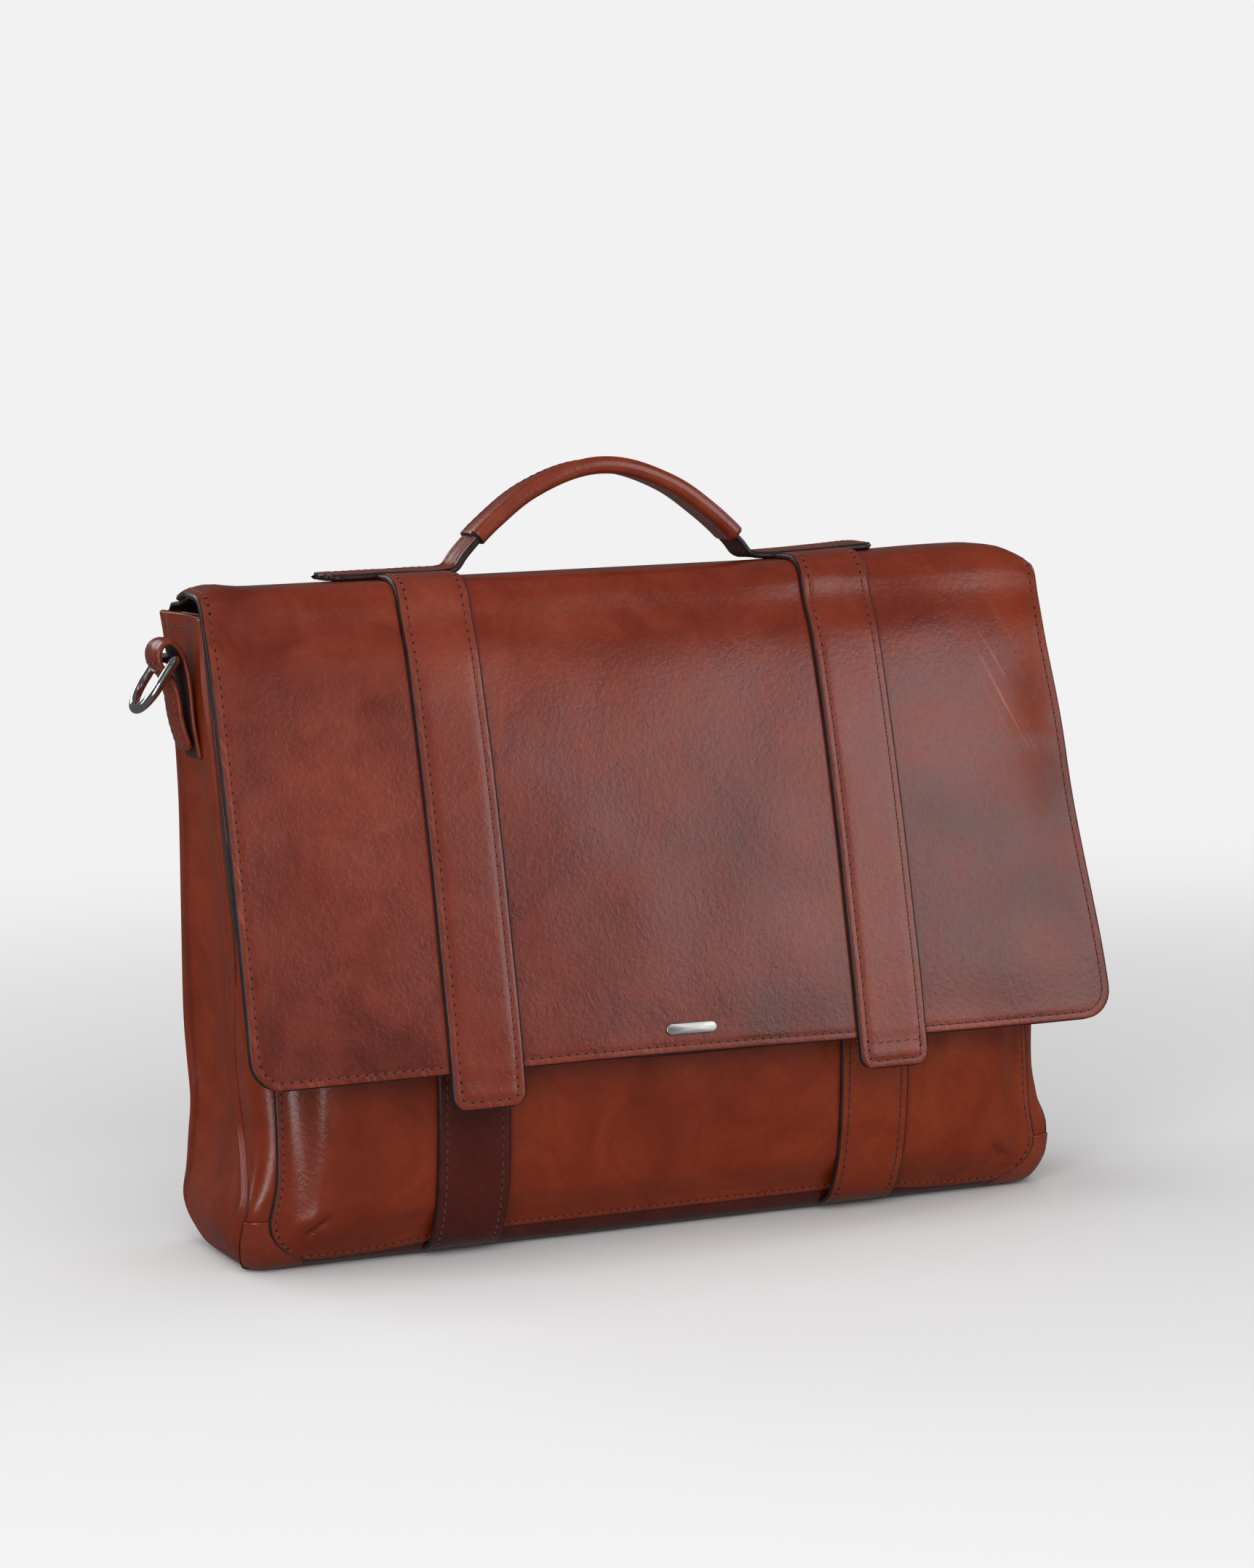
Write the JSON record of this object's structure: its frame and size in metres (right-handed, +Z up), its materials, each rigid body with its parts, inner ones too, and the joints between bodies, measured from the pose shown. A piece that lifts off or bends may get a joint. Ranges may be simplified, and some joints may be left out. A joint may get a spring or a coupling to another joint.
{
  "type": "leather briefcase",
  "caption": "Soft leather briefcase with a fold-over flap closed by strap snaps, a front pocket, a top handle and side rings.",
  "frame": {"origin": "centre of the base's width, on the surface the bag stands on", "axes": "+X to the bag's right seen from the front, -Y to the front, +Z up"},
  "size_m": [0.4488, 0.1439, 0.3516],
  "materials": {
    "body_leather": "glossy oiled pull-up leather, orange-brown",
    "flap_leather": "glossy oiled pull-up leather, red-brown",
    "strap_leather": "glossy leather with painted dark edges",
    "dark_leather": "darker red-brown leather",
    "lining_fabric": "dark brown woven twill",
    "base_board": "grey-brown fibre board",
    "bright_steel": "polished",
    "plate_steel": "satin",
    "zip_fabric": "woven zip tape with moulded coil"
  },
  "bodies": {
    "bag": {"front_panel": "body_leather", "back_panel": "body_leather", "base_panel": "body_leather", "left_gusset": "body_leather", "right_gusset": "body_leather", "base_board": "base_board", "lining": "lining_fabric", "mouth_facing": "dark_leather", "laptop_divider": "lining_fabric", "zip_tape": "zip_fabric", "front_pocket": "body_leather", "pocket_side_tape": "body_leather", "left_corner_patch": "body_leather", "right_corner_patch": "body_leather", "left_lower_strap": "dark_leather", "right_lower_strap": "dark_leather", "left_lower_snap": "bright_steel", "right_lower_snap": "bright_steel", "left_ring_loop": "strap_leather", "right_ring_loop": "strap_leather", "flap_back_band": "flap_leather"},
    "flap_crest": {"flap_top": "flap_leather", "flap_top_lining": "dark_leather", "left_strap_crest": "strap_leather", "right_strap_crest": "strap_leather", "handle_strap": "strap_leather", "handle_filler": "dark_leather", "handle_grip": "strap_leather"},
    "flap_front": {"flap_front": "flap_leather", "flap_front_lining": "dark_leather", "left_upper_strap": "strap_leather", "right_upper_strap": "strap_leather", "left_snap_pad": "dark_leather", "right_snap_pad": "dark_leather", "left_upper_snap": "bright_steel", "right_upper_snap": "bright_steel", "name_plate": "plate_steel"},
    "left_ring": {"left_ring": "bright_steel"},
    "right_ring": {"right_ring": "bright_steel"},
    "zip_slider": {"zip_slider": "bright_steel"},
    "zip_pull": {"zip_pull": "bright_steel"}
  },
  "joints": [
    {"name": "flap_back", "type": "hinge", "parent": "bag", "child": "flap_crest", "pos_m": [0, 0.04341, 0.28817], "axis": [-1, 0, 0], "range_deg": [0, 115]},
    {"name": "flap_fold", "type": "hinge", "parent": "flap_crest", "child": "flap_front", "pos_m": [0, -0.04034, 0.2942], "axis": [-1, 0, 0], "range_deg": [0, 90]},
    {"name": "left_ring_swing", "type": "hinge", "parent": "bag", "child": "left_ring", "pos_m": [-0.2073, 0, 0.2698], "axis": [0, 1, 0], "range_deg": [0, 120]},
    {"name": "right_ring_swing", "type": "hinge", "parent": "bag", "child": "right_ring", "pos_m": [0.2073, 0, 0.2698], "axis": [0, -1, 0], "range_deg": [0, 120]},
    {"name": "zip_slide", "type": "slide", "parent": "bag", "child": "zip_slider", "axis": [1, 0, 0], "range_m": [0, 0.176]},
    {"name": "zip_pull_swing", "type": "hinge", "parent": "zip_slider", "child": "zip_pull", "pos_m": [-0.088, 0.0033, 0.2235], "axis": [-1, 0, 0], "range_deg": [0, 150]}
  ]
}
